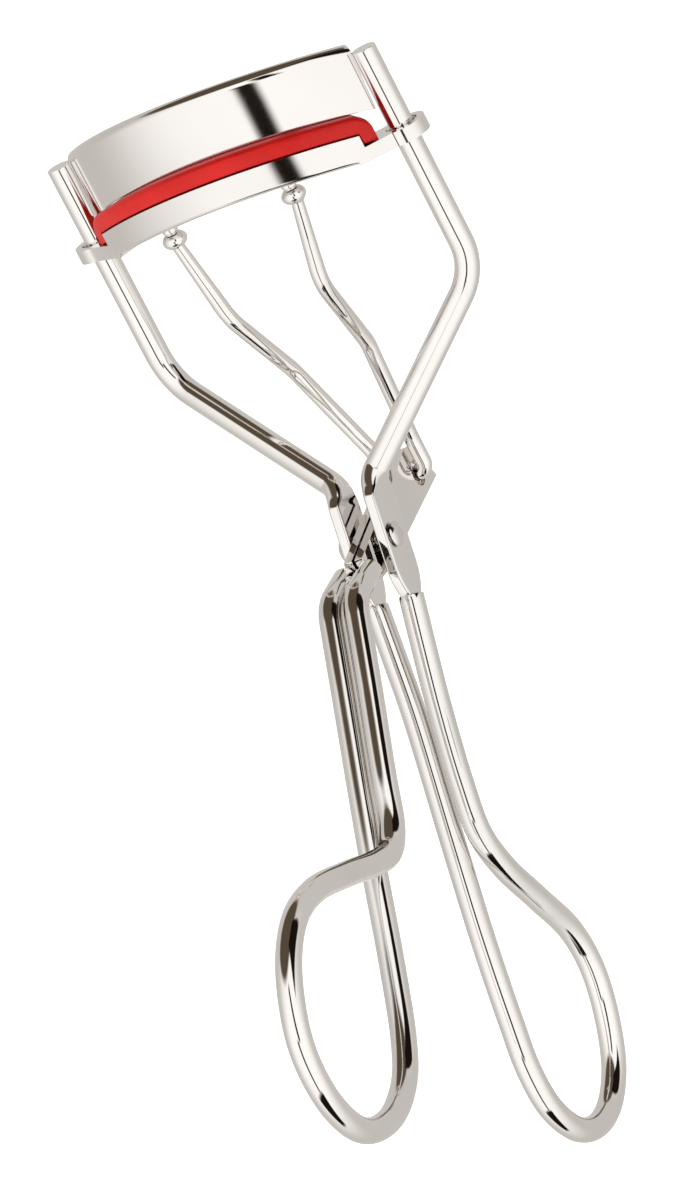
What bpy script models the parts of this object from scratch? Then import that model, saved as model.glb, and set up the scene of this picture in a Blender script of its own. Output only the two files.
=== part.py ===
"""Eyelash curler: a bent-wire frame with a curved upper jaw, a finger lever riveted
across it, and a lower jaw that two push rods slide along the frame's posts.

Metres, +Z up. The tool is laid out from its rivet: X runs along the rivet, Z along the
posts that the lower jaw slides on, and -Y is the side that the jaws bulge towards. The
last step lifts the whole tool so that its box stands centred on the world origin.
"""

from math import asin, cos, pi, radians, sin, sqrt, tan

import bmesh
import bpy
from mathutils import Matrix, Vector

MM = 0.001

# --- Driving dimensions -------------------------------------------------------------

# Wires
FRAME_WIRE = 2.5 * MM           # diameter of the frame's and the lever's wire
ROD_WIRE = 1.6 * MM             # diameter of the two push rods
WIRE_SIDES_PER_CORNER = 3       # a round wire has four times as many sides

# Clearances
SEAT_GAP = 0.3 * MM             # between pieces that are brazed or rest on each other
RUNNING_GAP = 0.15 * MM         # between the rivet and what it passes through
POST_GAP = 0.4 * MM             # between a post and the eyelet that slides on it
HOOK_GAP = 0.5 * MM             # play of a rod's hook in its hole, all round

# Pivot: the flattened frame sides hold the two ears of the lever between them
EAR_THICKNESS = 0.95 * MM
SIDE_THICKNESS = 1.2 * MM
SIDE_WIDTH = 4.8 * MM
SIDE_TOP = (2.8 * MM, 5.4 * MM)         # (Y, Z) where a side turns into its arm
SIDE_FOOT = (-1.4 * MM, -5.5 * MM)      # (Y, Z) where a side ends
RIVET_DIAMETER = 1.8 * MM
RIVET_HEAD = 2.6 * MM
RIVET_DOME = 0.6 * MM

# Upper jaw
JAW_RADIUS = 22.5 * MM          # of the plate's front face, seen from above
JAW_FRONT_Y = 4.5 * MM          # how far the bulge stops short of the rivet's axis
JAW_RISE = 0.45                 # the jaws' edges climb towards the middle by this share of the bulge
PLATE_TOP_RISE = 0.37           # the same for the upper plate's top edge
PLATE_THICKNESS = 0.8 * MM
PLATE_HEIGHT = 6.85 * MM
PLATE_TAPER = 0.3 * MM          # how much each end leans in on its way down
PLATE_TOP_Z = 44.0 * MM         # at the plate's ends
RIM_DEPTH = 2.0 * MM            # of the top edge where it is turned back
RIM_DROP = 0.3 * MM             # how much the rim slopes down towards its back edge
JAW_STEPS = 28

# Lower jaw and its pad
CHANNEL_WIDTH = 4.0 * MM
CHANNEL_WALL = 0.6 * MM
CHANNEL_HEIGHT = 2.4 * MM
PAD_HEAD_HEIGHT = 2.0 * MM
PAD_HEAD_WIDTH = 3.9 * MM
PAD_FOOT_DEPTH = 0.9 * MM
PAD_END_LIP = 1.0 * MM          # length of the pad that curls down past each end of the channel
EYELET_THICKNESS = 0.8 * MM
EYELET_RIM = 0.9 * MM           # of metal round the hole

# Arms
POST_X = 17.5 * MM
POST_SETBACK = 0.55 * MM        # of the posts' axes behind the ends of the plate's front face
POST_TOP_Z = 43.0 * MM
SHOULDER_Z = 18.9 * MM          # where a post turns in towards the pivot
SHOULDER_RADIUS = 6.0 * MM
ELBOW_RADIUS = 2.5 * MM

# Push rods
ROD_STUD_X = 6.8 * MM
ROD_STUD_FORWARD = 0.15 * MM    # of the channel's middle line
ROD_KNEES = (                   # (X, Y, Z) of the corners that the bends round off
    (5.3 * MM, 5.4 * MM, 24.4 * MM),
    (4.3 * MM, 10.3 * MM, 16.0 * MM),
)
ROD_KNEE_RADIUS = 5.0 * MM
HOOK_AT = (13.4 * MM, 0.9 * MM)         # (Y, Z) of the hook in the lever's ears
HOOK_RADIUS = 1.0 * MM
HOOK_RISE = 3.4 * MM            # straight run above the hook
BEAD_DIAMETER = 2.9 * MM
BEAD_HEIGHT = 1.9 * MM
BEAD_GAP = 0.45 * MM            # under the channel's sloping floor
STUD_HEAD = 2.0 * MM
STUD_HEAD_HEIGHT = 0.4 * MM
STUD_HOLE_GAP = 0.2 * MM

# Lever ears: outline in (Y, Z), from the lower edge at the handle round to the hook end
EAR_OUTLINE = (
    (-5.2 * MM, -2.6 * MM),
    (-1.5 * MM, -2.75 * MM),
    (6.0 * MM, -2.1 * MM),
    (HOOK_AT[0] + 3.45 * MM, HOOK_AT[1] - 1.9 * MM),
    (HOOK_AT[0] + 1.7 * MM, HOOK_AT[1] + 1.9 * MM),
    (HOOK_AT[0] + 0.6 * MM, HOOK_AT[1] + 2.7 * MM),
    (HOOK_AT[0] - 0.5 * MM, HOOK_AT[1] + 2.9 * MM),
    (7.4 * MM, 2.6 * MM),
    (-0.3 * MM, 1.35 * MM),
    (-5.2 * MM, 0.5 * MM),
)

# Handles. Each loop is drawn along its own strands: s runs down the strand and w out
# from it towards the loop's side, both in millimetres.
STRAND_X = 1.4 * MM             # half the distance between the two strands of a wire
FIXED_START = (-1.55 * MM, -5.8 * MM)   # (Y, Z) of s = 0, a seat's gap below the sides' feet
FIXED_LEAN = 23.3               # degrees from the posts, towards -Y
FIXED_LOOP = (
    (34.0, 0.1), (42.0, 0.7), (47.0, 1.4), (51.0, 3.4), (53.6, 7.1), (53.9, 10.8),
    (52.4, 14.2), (49.0, 16.8), (44.0, 17.6), (39.0, 16.7), (35.0, 13.9), (31.2, 8.4),
    (27.4, 3.2), (23.8, 0.4), (19.0, -0.2),
)
LEVER_BEND = (-11.1 * MM, -1.2 * MM)    # (Y, Z) of s = 0, where the strands turn down
LEVER_TOP = (-5.5 * MM, -0.9 * MM)      # (Y, Z) where the strands meet the ears
LEVER_LEAN = 38.5
LEVER_LOOP = (
    (36.0, -0.4), (43.0, -0.2), (47.0, 0.9), (51.0, 4.3), (53.2, 9.2), (53.2, 13.0),
    (51.3, 17.4), (47.6, 21.0), (43.5, 22.3), (39.0, 22.2), (35.0, 20.4), (32.0, 16.8),
    (29.4, 10.6), (27.2, 4.4), (25.6, 1.5), (23.0, 0.2), (18.0, 0.2),
)
LEVER_BEND_RADIUS = 4.0 * MM
STEPS_PER_SPAN = 4              # points of the smooth curve between two given points
BEND_STEPS = 5                  # stretches of a bend's arc

# --- Sizes that follow ----------------------------------------------------------------

WIRE_R = FRAME_WIRE / 2
ROD_R = ROD_WIRE / 2
EAR_INNER_X = SEAT_GAP / 2
EAR_OUTER_X = EAR_INNER_X + EAR_THICKNESS
SIDE_INNER_X = EAR_OUTER_X + SEAT_GAP
SIDE_X = SIDE_INNER_X + SIDE_THICKNESS / 2
JAW_CENTRE_Y = JAW_FRONT_Y + JAW_RADIUS
JAW_REACH = POST_X - WIRE_R - SEAT_GAP  # of the plate and the pad, to either side
JAW_END_ANGLE = asin(JAW_REACH / JAW_RADIUS)
JAW_MID_RADIUS = JAW_RADIUS - PLATE_THICKNESS / 2
POST_Y = JAW_CENTRE_Y - JAW_RADIUS * cos(JAW_END_ANGLE) + POST_SETBACK
PLATE_FOOT_Z = PLATE_TOP_Z - PLATE_HEIGHT
PAD_TOP_Z = PLATE_FOOT_Z - SEAT_GAP
CHANNEL_TOP_Z = PAD_TOP_Z - PAD_HEAD_HEIGHT - SEAT_GAP
CHANNEL_FOOT_Z = CHANNEL_TOP_Z - CHANNEL_HEIGHT
CHANNEL_END_ANGLE = asin((JAW_REACH - PAD_END_LIP - SEAT_GAP) / (JAW_MID_RADIUS + CHANNEL_WIDTH / 2))
PAD_END_ANGLE = asin(JAW_REACH / (JAW_MID_RADIUS + PAD_HEAD_WIDTH / 2))
EYELET_HOLE_R = WIRE_R + POST_GAP

X_AXIS = Vector((1, 0, 0))


# --- Paths ----------------------------------------------------------------------------

def rounded_path(corners, radii, steps=BEND_STEPS):
    """A path of straight runs through the corners, each inner corner an arc."""
    points = [corners[0]]
    for before, corner, after, radius in zip(corners, corners[1:], corners[2:], radii):
        inward = (before - corner).normalized()
        onward = (after - corner).normalized()
        half_turn = (pi - inward.angle(onward)) / 2
        middle = corner + (inward + onward).normalized() * radius / cos(half_turn)
        start = corner + inward * radius * tan(half_turn) - middle
        end = corner + onward * radius * tan(half_turn) - middle
        points += [middle + start.slerp(end, i / steps) * radius for i in range(steps + 1)]
    return points + [corners[-1]]


def smooth_path(points, steps):
    """A centripetal Catmull-Rom curve through the points."""
    ends = [2 * points[0] - points[1], *points, 2 * points[-1] - points[-2]]
    path = []
    for p0, p1, p2, p3 in zip(ends, ends[1:], ends[2:], ends[3:]):
        t1 = sqrt((p1 - p0).length)
        t2 = t1 + sqrt((p2 - p1).length)
        t3 = t2 + sqrt((p3 - p2).length)
        for i in range(steps):
            t = t1 + (t2 - t1) * i / steps
            a1 = p0.lerp(p1, t / t1)
            a2 = p1.lerp(p2, (t - t1) / (t2 - t1))
            a3 = p2.lerp(p3, (t - t2) / (t3 - t2))
            b1 = a1.lerp(a2, t / t2)
            b2 = a2.lerp(a3, (t - t1) / (t3 - t1))
            path.append(b1.lerp(b2, (t - t1) / (t2 - t1)))
    return path + [points[-1]]


def mirrored(point, side):
    """The point on the right side (+1) or its mirror image on the left (-1)."""
    return Vector((side * point[0], point[1], point[2]))


# --- Mesh helpers -----------------------------------------------------------------------

def section_ring(half_thickness, half_width, corner):
    """A rounded rectangle, or a circle when all three are equal, as (across, along) pairs."""
    ring = []
    for quarter in range(4):
        sign_a = (1, -1, -1, 1)[quarter]
        sign_b = (1, 1, -1, -1)[quarter]
        for i in range(WIRE_SIDES_PER_CORNER):
            angle = (quarter + (i + 0.5) / WIRE_SIDES_PER_CORNER) * pi / 2
            ring.append((
                sign_a * (half_thickness - corner) + corner * cos(angle),
                sign_b * (half_width - corner) + corner * sin(angle),
            ))
    return ring


def skin(rings):
    """A closed bmesh over rings of equally many points."""
    bm = bmesh.new()
    loops = [[bm.verts.new(point) for point in ring] for ring in rings]
    count = len(loops[0])
    for one, two in zip(loops, loops[1:]):
        for i in range(count):
            j = (i + 1) % count
            bm.faces.new((one[i], one[j], two[j], two[i]))
    bm.faces.new(list(reversed(loops[0])))
    bm.faces.new(loops[-1])
    bmesh.ops.recalc_face_normals(bm, faces=bm.faces)
    return bm


def lofted(path, sections):
    """A bmesh swept along the path; sections give thickness, width and corner radius."""
    rings = []
    across = X_AXIS
    for i, point in enumerate(path):
        tangent = (path[min(i + 1, len(path) - 1)] - path[max(i - 1, 0)]).normalized()
        flat = X_AXIS - X_AXIS.dot(tangent) * tangent
        if flat.length < 0.3:
            flat = across - across.dot(tangent) * tangent
        across = flat.normalized()
        along = tangent.cross(across)
        ring = section_ring(*sections[i])
        rings.append([point + across * a + along * b for a, b in ring])
    return skin(rings)


def round_wire(path, radius):
    return lofted(path, [(radius, radius, radius)] * len(path))


def turned(profile, sides, matrix):
    """A bmesh of revolution about +Z, then moved by the matrix; profile is (radius, z)."""
    rings = []
    for radius, z in profile:
        ring = []
        for i in range(sides):
            angle = 2 * pi * i / sides
            ring.append(matrix @ Vector((radius * cos(angle), radius * sin(angle), z)))
        rings.append(ring)
    return skin(rings)


def extruded(outline, low_x, high_x):
    """A bmesh of a (Y, Z) outline between two planes of constant X."""
    return skin([[Vector((x, y, z)) for y, z in outline] for x in (low_x, high_x)])


def add_object(name, bm, material, parent, origin=Vector()):
    """The bmesh as a named object whose own origin is at the given point of the tool."""
    mesh = bpy.data.meshes.new(name)
    bm.to_mesh(mesh)
    bm.free()
    mesh.transform(Matrix.Translation(-origin))
    mesh.materials.append(material)
    mesh.shade_smooth()
    mesh.set_sharp_from_angle(angle=radians(35))
    obj = bpy.data.objects.new(name, mesh)
    bpy.context.scene.collection.objects.link(obj)
    obj.parent = parent
    obj.location = origin - joint_place(parent)
    return obj


def add_tool(name, bm):
    """A shape that only cuts or joins: it is left out of the model."""
    mesh = bpy.data.meshes.new(name)
    bm.to_mesh(mesh)
    bm.free()
    obj = bpy.data.objects.new(name, mesh)
    bpy.context.scene.collection.objects.link(obj)
    obj.parent = bpy.data.objects["curler"]
    obj.hide_render = True
    obj.display_type = "WIRE"
    return obj


def combine(obj, tool, operation):
    modifier = obj.modifiers.new(tool.name, "BOOLEAN")
    modifier.operation = operation
    modifier.solver = "EXACT"
    modifier.object = tool


def add_empty(name, place, parent=None):
    empty = bpy.data.objects.new(name, None)
    empty.empty_display_size = 5 * MM
    bpy.context.scene.collection.objects.link(empty)
    empty.parent = parent
    empty["tool_place"] = list(place)
    empty.location = place - (joint_place(parent) if parent else Vector())
    return empty


def joint_place(empty):
    """Where an empty lies, measured from the rivet."""
    return Vector(empty["tool_place"])


def add_material(name, colour, roughness, metallic):
    material = bpy.data.materials.new(name)
    material.use_nodes = True
    shader = material.node_tree.nodes["Principled BSDF"]
    shader.inputs["Base Color"].default_value = (*colour, 1)
    shader.inputs["Roughness"].default_value = roughness
    shader.inputs["Metallic"].default_value = metallic
    return material


# --- The jaws' arc --------------------------------------------------------------------

def jaw_point(radius, z, angle, rise=JAW_RISE):
    """A point of the jaws at this radius and angle, z being its height at the ends."""
    bulge = JAW_RADIUS * (cos(angle) - cos(JAW_END_ANGLE))
    return Vector((
        radius * sin(angle),
        JAW_CENTRE_Y - radius * cos(angle),
        z + rise * bulge,
    ))


def shares(steps):
    """Even steps from -1 at the left end of the jaws to +1 at the right end."""
    return [2 * i / steps - 1 for i in range(steps + 1)]


# --- Frame ------------------------------------------------------------------------------

def upper_jaw(parent, material):
    """Curved plate whose top edge is turned back; it leans in a little towards its foot."""
    back = JAW_RADIUS - PLATE_THICKNESS
    rim = JAW_RADIUS - RIM_DEPTH
    corner = 0.3 * PLATE_THICKNESS
    profile = (
        (JAW_RADIUS, PLATE_FOOT_Z),
        (JAW_RADIUS, PLATE_TOP_Z - 2 * corner),
        (JAW_RADIUS - corner / 2, PLATE_TOP_Z - corner),
        (JAW_RADIUS - 2 * corner, PLATE_TOP_Z),
        (rim, PLATE_TOP_Z - RIM_DROP),
        (rim, PLATE_TOP_Z - RIM_DROP - PLATE_THICKNESS),
        (back, PLATE_TOP_Z - PLATE_THICKNESS),
        (back, PLATE_FOOT_Z),
    )
    rings = []
    for share in shares(JAW_STEPS):
        ring = []
        for radius, z in profile:
            below_top = min(1, (PLATE_TOP_Z - z) / PLATE_HEIGHT)
            rise = PLATE_TOP_RISE + (JAW_RISE - PLATE_TOP_RISE) * below_top
            end_angle = asin((JAW_REACH - PLATE_TAPER * below_top) / JAW_RADIUS)
            ring.append(jaw_point(radius, z, share * end_angle, rise))
        rings.append(ring)
    add_object("upper_jaw_plate", skin(rings), material, parent)


def arm(side, name, parent, material):
    """One frame wire from its post down to the flattened side that the rivet goes through."""
    foot = Vector((SIDE_X, *SIDE_FOOT))
    corners = [
        Vector((POST_X, POST_Y, POST_TOP_Z)),
        Vector((POST_X, POST_Y, SHOULDER_Z)),
        Vector((SIDE_X, *SIDE_TOP)),
        foot,
    ]
    path = rounded_path(corners, [SHOULDER_RADIUS, ELBOW_RADIUS], BEND_STEPS)
    path.pop()
    bend_end = path[-1]
    flatness = [0] * (len(path) - BEND_STEPS)
    flatness += [0.6 * (i + 1) / BEND_STEPS for i in range(BEND_STEPS)]
    for share, flat in ((0.05, 0.85), (0.09, 1), (1, 1)):
        path.append(bend_end.lerp(foot, share))
        flatness.append(flat)
    flat_section = Vector((SIDE_THICKNESS / 2, SIDE_WIDTH / 2, 0.45 * SIDE_THICKNESS))
    round_section = Vector((WIRE_R, WIRE_R, WIRE_R))
    sections = [round_section.lerp(flat_section, flat) for flat in flatness]
    path = [mirrored(point, side) for point in path]
    obj = add_object(name, lofted(path, sections), material, parent)
    combine(obj, rivet_cutter(name), "DIFFERENCE")


def rivet_cutter(name):
    reach = SIDE_X + SIDE_THICKNESS
    radius = RIVET_DIAMETER / 2 + RUNNING_GAP
    lay_down = Matrix.Rotation(pi / 2, 4, "Y")
    return add_tool(f"{name}_bore", turned([(radius, -reach), (radius, reach)], 24, lay_down))


def rivet(parent, material):
    """Shank with a domed head at each end."""
    shank = RIVET_DIAMETER / 2
    head = RIVET_HEAD / 2
    seat = SIDE_X + SIDE_THICKNESS / 2 + RUNNING_GAP
    half = [(shank, seat), (head, seat)]
    for degrees in (15, 35, 60, 80):
        half.append((head * cos(radians(degrees)), seat + RIVET_DOME * sin(radians(degrees))))
    profile = [(r, -z) for r, z in reversed(half)] + half
    lay_down = Matrix.Rotation(pi / 2, 4, "Y")
    add_object("pivot_rivet", turned(profile, 24, lay_down), material, parent)


def handle_frame(start, lean, outward):
    """A function from (s, w, x) to the tool's own coordinates."""
    slope = radians(lean)
    down = Vector((0, -sin(slope), -cos(slope)))
    out = Vector((0, cos(slope), -sin(slope))) * outward
    origin = Vector((0, *start))
    return lambda s, w, x: origin + down * s + out * w + X_AXIS * x


def loop_points(place, loop):
    """The loop's points in space: it crosses from the left strand to the right one."""
    lengths = [0.0]
    for (s1, w1), (s2, w2) in zip(loop, loop[1:]):
        lengths.append(lengths[-1] + sqrt((s2 - s1) ** 2 + (w2 - w1) ** 2))
    points = []
    for (s, w), length in zip(loop, lengths):
        share = length / lengths[-1]
        swing = max(-1.0, min(1.0, (share - 0.5) / 0.3))
        x = STRAND_X * sin(swing * pi / 2)
        points.append(place(s * MM, w * MM, x))
    return points


def fixed_handle(parent, material):
    """One wire: two strands from the frame's sides down to the finger loop they share."""
    place = handle_frame(FIXED_START, FIXED_LEAN, 1)
    strand = ((0, SIDE_X), (5 * MM, (SIDE_X + STRAND_X) / 2), (11 * MM, STRAND_X))
    points = [place(s, 0, -x) for s, x in strand]
    points.append(place(24 * MM, 0, -STRAND_X))
    points += loop_points(place, FIXED_LOOP)
    points += [place(s, 0, x) for s, x in reversed(strand)]
    path = smooth_path(points, STEPS_PER_SPAN)
    add_object("fixed_handle", round_wire(path, WIRE_R), material, parent)


# --- Lever --------------------------------------------------------------------------------

def lever_ear(side, name, parent, material):
    """Flat ear of the lever with its rivet hole and the hole for a rod's hook."""
    low, high = sorted((side * EAR_INNER_X, side * EAR_OUTER_X))
    obj = add_object(name, extruded(EAR_OUTLINE, low, high), material, parent)
    combine(obj, rivet_cutter(name), "DIFFERENCE")
    radius = ROD_R + HOOK_GAP
    reach = 2 * EAR_OUTER_X
    place = Matrix.Translation((0, *HOOK_AT)) @ Matrix.Rotation(pi / 2, 4, "Y")
    bore = add_tool(f"{name}_hook_bore", turned([(radius, -reach), (radius, reach)], 20, place))
    combine(obj, bore, "DIFFERENCE")


def lever_handle(parent, material):
    """One wire: from the ears the two strands turn down and end in the finger loop."""
    place = handle_frame(LEVER_BEND, LEVER_LEAN, -1)
    top = Vector((0, *LEVER_TOP))
    bend = place(0, 0, 0)
    turn = rounded_path([top, bend, place(12 * MM, 0, 0)], [LEVER_BEND_RADIUS])
    points = [point - X_AXIS * STRAND_X for point in turn[:-1]]
    points.append(place(9 * MM, 0, -STRAND_X))
    points.append(place(24 * MM, 0, -STRAND_X))
    curve = points + loop_points(place, LEVER_LOOP) + [place(9 * MM, 0, STRAND_X)]
    path = points[:-2] + smooth_path(curve[len(points) - 2:], STEPS_PER_SPAN)
    path += [point + X_AXIS * STRAND_X for point in reversed(turn[:-1])]
    add_object("lever_handle", round_wire(path, WIRE_R), material, parent)


# --- Lower jaw, pad and rods -----------------------------------------------------------------

def lower_jaw(parent, origin, material):
    """Curved channel for the pad, with a flat eyelet round each post."""
    half = CHANNEL_WIDTH / 2
    outer = JAW_MID_RADIUS + half
    inner = JAW_MID_RADIUS - half
    floor = CHANNEL_FOOT_Z + CHANNEL_WALL
    profile = (
        (outer, CHANNEL_FOOT_Z),
        (outer, CHANNEL_TOP_Z),
        (outer - CHANNEL_WALL, CHANNEL_TOP_Z),
        (outer - CHANNEL_WALL, floor),
        (inner + CHANNEL_WALL, floor),
        (inner + CHANNEL_WALL, CHANNEL_TOP_Z),
        (inner, CHANNEL_TOP_Z),
        (inner, CHANNEL_FOOT_Z),
    )
    rings = []
    for share in shares(JAW_STEPS):
        rings.append([jaw_point(r, z, share * CHANNEL_END_ANGLE) for r, z in profile])
    obj = add_object("lower_jaw", skin(rings), material, parent, origin)
    end = jaw_point(JAW_MID_RADIUS, CHANNEL_FOOT_Z, CHANNEL_END_ANGLE)
    for side in (-1, 1):
        name = "left" if side < 0 else "right"
        combine(obj, add_tool(f"eyelet_{name}", eyelet(side, end)), "UNION")
        post = Matrix.Translation((side * POST_X, POST_Y, end.z))
        bore = turned([(EYELET_HOLE_R, -8 * MM), (EYELET_HOLE_R, 8 * MM)], 24, post)
        combine(obj, add_tool(f"eyelet_{name}_bore", bore), "DIFFERENCE")
        stud = rod_stud(side)
        hole = ROD_R + STUD_HOLE_GAP
        depth = CHANNEL_WALL + SEAT_GAP
        place = Matrix.Translation(stud)
        bore = turned([(hole, -depth), (hole, depth)], 16, place)
        combine(obj, add_tool(f"stud_{name}_bore", bore), "DIFFERENCE")


def eyelet(side, end):
    """A flat tab from inside the channel's end to a round end about the post."""
    radius = EYELET_HOLE_R + EYELET_RIM
    post = Vector((POST_X, POST_Y))
    root = Vector((end.x - 1.6 * MM, end.y - 1.2 * MM))
    line = (post - root).normalized()
    normal = Vector((-line.y, line.x))
    neck = 0.75 * radius
    start = asin(neck / radius)
    outline = [root + normal * neck, root - normal * neck]
    turn = 10
    for i in range(turn + 1):
        angle = -(pi - start) + (2 * pi - 2 * start) * i / turn
        outline.append(post + line * radius * cos(angle) + normal * radius * sin(angle))
    rings = []
    for z in (end.z, end.z + EYELET_THICKNESS):
        rings.append([Vector((side * p.x, p.y, z)) for p in outline])
    return skin(rings)


def lash_pad(parent, origin, material):
    """Soft insert: a rounded head on the channel, a foot between its walls, curled-down ends."""
    half = PAD_HEAD_WIDTH / 2
    foot = CHANNEL_WIDTH / 2 - CHANNEL_WALL - SEAT_GAP
    soft = 0.35 * PAD_HEAD_HEIGHT
    fall = jaw_point(0, 0, CHANNEL_END_ANGLE).z - jaw_point(0, 0, PAD_END_ANGLE).z
    curl = CHANNEL_HEIGHT - EYELET_THICKNESS - fall
    channel_end = (CHANNEL_END_ANGLE + SEAT_GAP / JAW_RADIUS) / PAD_END_ANGLE

    def ring(share, drop, shrink):
        under = PAD_TOP_Z - PAD_HEAD_HEIGHT - drop
        top = PAD_TOP_Z - shrink
        side = (
            (foot, min(under, PAD_TOP_Z - PAD_HEAD_HEIGHT - PAD_FOOT_DEPTH) - 0.01 * MM),
            (foot, under),
            (half - soft / 2, under),
            (half, under + soft / 2),
            (half, top - soft),
            (half - soft / 3, top - soft / 3),
            (half - soft, top),
        )
        outline = list(side) + [(-r, z) for r, z in reversed(side)]
        return [jaw_point(JAW_MID_RADIUS + r, z, share * PAD_END_ANGLE) for r, z in outline]

    lip = [(channel_end, 0, 0), (channel_end + 0.004, curl, 0)]
    lip += [(1 - 0.45 * (1 - channel_end), curl, 0.3 * soft), (1, curl, 1.2 * soft)]
    rings = [ring(-share, drop, shrink) for share, drop, shrink in reversed(lip)]
    rings += [ring(share * channel_end, 0, 0) for share in shares(JAW_STEPS)[1:-1]]
    rings += [ring(*step) for step in lip]
    add_object("lash_pad", skin(rings), material, parent, origin)


def rod_stud(side):
    """Middle of the hole in the channel's floor that a rod's top goes through."""
    radius = JAW_MID_RADIUS + ROD_STUD_FORWARD
    angle = asin(ROD_STUD_X / radius)
    point = jaw_point(radius, CHANNEL_FOOT_Z + CHANNEL_WALL / 2, angle)
    return mirrored(point, side)


def push_rod(side, name, parent, material):
    """Bent wire with a riveted top, a bead under the channel and a hook at the lever."""
    stud = rod_stud(1)
    hook_x = EAR_OUTER_X + SEAT_GAP + ROD_R
    hook = Vector((hook_x, *HOOK_AT))
    corners = [
        stud - Vector((0, 0, CHANNEL_WALL / 2 + 0.6 * BEAD_HEIGHT)),
        *(Vector(knee) for knee in ROD_KNEES),
        hook + Vector((0, 0, HOOK_RISE)),
        hook,
        Vector((EAR_INNER_X + SEAT_GAP / 2, *HOOK_AT)),
    ]
    radii = [ROD_KNEE_RADIUS, ROD_KNEE_RADIUS, ROD_KNEE_RADIUS, HOOK_RADIUS]
    path = rounded_path(corners, radii)
    sections = [(ROD_R, ROD_R, ROD_R)] * len(path)
    head_z = stud.z + CHANNEL_WALL / 2 + SEAT_GAP
    bead_top = stud.z - CHANNEL_WALL / 2 - BEAD_GAP
    shape = [
        (head_z + STUD_HEAD_HEIGHT, 0.7 * STUD_HEAD / 2),
        (head_z + STUD_HEAD_HEIGHT / 2, STUD_HEAD / 2),
        (head_z, STUD_HEAD / 2),
        (head_z, ROD_R),
        (bead_top, ROD_R),
    ]
    for degrees in (65, 35, 0, -35, -65):
        height = BEAD_HEIGHT / 2 * (1 - sin(radians(degrees)))
        shape.append((bead_top - height, BEAD_DIAMETER / 2 * cos(radians(degrees))))
    top = [Vector((stud.x, stud.y, z)) for z, _radius in shape]
    path = top + path[1:]
    sections = [(r, r, r) for _z, r in shape] + sections[1:]
    path = [mirrored(point, side) for point in path]
    add_object(name, lofted(path, sections), material, parent, joint_place(parent))


# --- The whole tool -----------------------------------------------------------------------------

def stand_on_origin(root):
    """Moves the tool so that the middle of its box's underside is the world origin."""
    bpy.context.view_layer.update()
    graph = bpy.context.evaluated_depsgraph_get()
    corners = []
    for obj in bpy.context.scene.objects:
        if obj.type == "MESH" and not obj.hide_render:
            shape = obj.evaluated_get(graph)
            corners += [shape.matrix_world @ vertex.co for vertex in shape.data.vertices]
    low = Vector([min(corner[i] for corner in corners) for i in range(3)])
    high = Vector([max(corner[i] for corner in corners) for i in range(3)])
    root.location = -Vector(((low.x + high.x) / 2, (low.y + high.y) / 2, low.z))
    print("rivet at", [round(value, 6) for value in root.location])
    print("stud from the rivet", [round(value, 6) for value in rod_stud(1)])


def main():
    for obj in list(bpy.data.objects):
        bpy.data.objects.remove(obj, do_unlink=True)
    nickel = add_material("polished_nickel", (0.78, 0.75, 0.72), 0.12, 1.0)
    silicone = add_material("red_silicone", (0.62, 0.02, 0.02), 0.35, 0.0)

    frame = add_empty("curler", Vector())
    upper_jaw(frame, nickel)
    arm(-1, "arm_left", frame, nickel)
    arm(1, "arm_right", frame, nickel)
    fixed_handle(frame, nickel)
    rivet(frame, nickel)

    pivot = add_empty("lever_pivot", Vector(), frame)
    lever_ear(-1, "lever_ear_left", pivot, nickel)
    lever_ear(1, "lever_ear_right", pivot, nickel)
    lever_handle(pivot, nickel)

    slide = add_empty("jaw_slide", Vector((0, POST_Y, CHANNEL_FOOT_Z)), frame)
    lower_jaw(slide, joint_place(slide), nickel)
    lash_pad(slide, joint_place(slide), silicone)
    for side, name in ((-1, "left"), (1, "right")):
        hinge = add_empty(f"rod_hinge_{name}", rod_stud(side), slide)
        push_rod(side, f"push_rod_{name}", hinge, nickel)

    stand_on_origin(frame)


main()
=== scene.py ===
# %% [markdown]
# # An eyelash curler, piece by piece
# The real tool is bent from two thicknesses of wire and a little sheet metal, then nickel
# plated and polished. Its moving parts, sizes and joints are already settled in a packed
# frame. This lesson builds the surfaces that are seen: each piece is made again, finer, in
# the very place that its plain stand-in holds, and rides on the same body.

# %% Load the frame
from math import asin, cos, degrees, pi, radians, sin, sqrt, tan

import bmesh
import bpy
from mathutils import Matrix, Vector


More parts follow.
